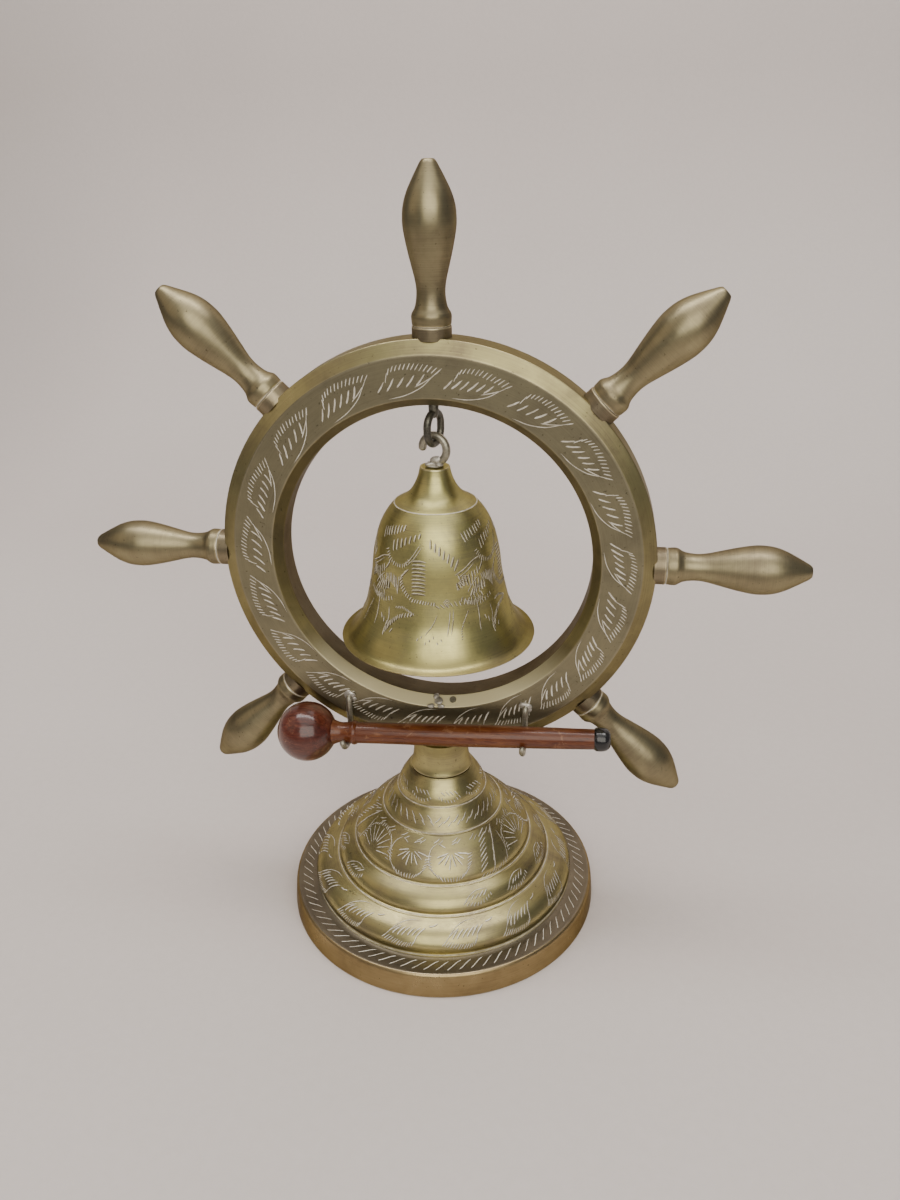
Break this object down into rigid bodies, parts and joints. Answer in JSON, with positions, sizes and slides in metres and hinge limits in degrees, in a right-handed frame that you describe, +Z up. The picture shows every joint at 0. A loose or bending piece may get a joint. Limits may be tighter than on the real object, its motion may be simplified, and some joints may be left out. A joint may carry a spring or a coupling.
{
  "type": "ship bell",
  "caption": "Desk bell in a ship's-wheel frame on a round turned pedestal, with a hanging bell on a wire hook and a wooden mallet resting on wire hooks.",
  "frame": {"origin": "middle of the pedestal's underside, on the table", "axes": "+Z up, -Y out of the wheel's engraved face, +X to the right seen from the front"},
  "size_m": [0.2776, 0.1336, 0.2998],
  "materials": {
    "antique_brass": "turned brass with a dark olive-brown patina, engraved",
    "bell_brass": "satin brass, lightly patinated, engraved",
    "steel": "plain zinc-plated steel",
    "wire": "dull grey-brown brass wire",
    "dark_wire": "darkened brass wire",
    "solder": "dull soft solder",
    "ball_wood": "dark red-brown stained wood under gloss lacquer",
    "shaft_wood": "red-brown wood with straight grain under gloss lacquer",
    "black_gloss": "black gloss paint"
  },
  "bodies": {
    "stand": {"base_shell": "antique_brass", "column": "antique_brass", "column_bolt": "steel", "column_washer": "steel", "wheel_rim": "antique_brass", "handle_1": "antique_brass", "handle_2": "antique_brass", "handle_3": "antique_brass", "handle_4": "antique_brass", "handle_5": "antique_brass", "handle_6": "antique_brass", "handle_7": "antique_brass", "collar_1": "antique_brass", "collar_2": "antique_brass", "collar_3": "antique_brass", "collar_4": "antique_brass", "collar_5": "antique_brass", "collar_6": "antique_brass", "collar_7": "antique_brass", "handle_studs": "steel", "locking_pin": "wire", "solder_scar": "solder", "screw_eye": "dark_wire", "mallet_hook_left": "wire", "mallet_hook_right": "wire", "hook_solder": "solder"},
    "bell": {"bell": "bell_brass", "bell_hook": "wire", "crown_washer": "steel", "crown_nut": "steel", "crown_solder": "solder"},
    "mallet": {"mallet_head": "ball_wood", "mallet_shaft": "shaft_wood", "mallet_cap": "black_gloss"}
  },
  "joints": [
    {"name": "bell_swing", "type": "hinge", "parent": "stand", "child": "bell", "pos_m": [0, 0, 0.2084], "axis": [0.9397, -0.342, 0], "range_deg": [-25, 25]},
    {"name": "mallet_lift", "type": "slide", "parent": "stand", "child": "mallet", "axis": [0, -0.5736, 0.8192], "range_m": [0, 0.035]}
  ]
}
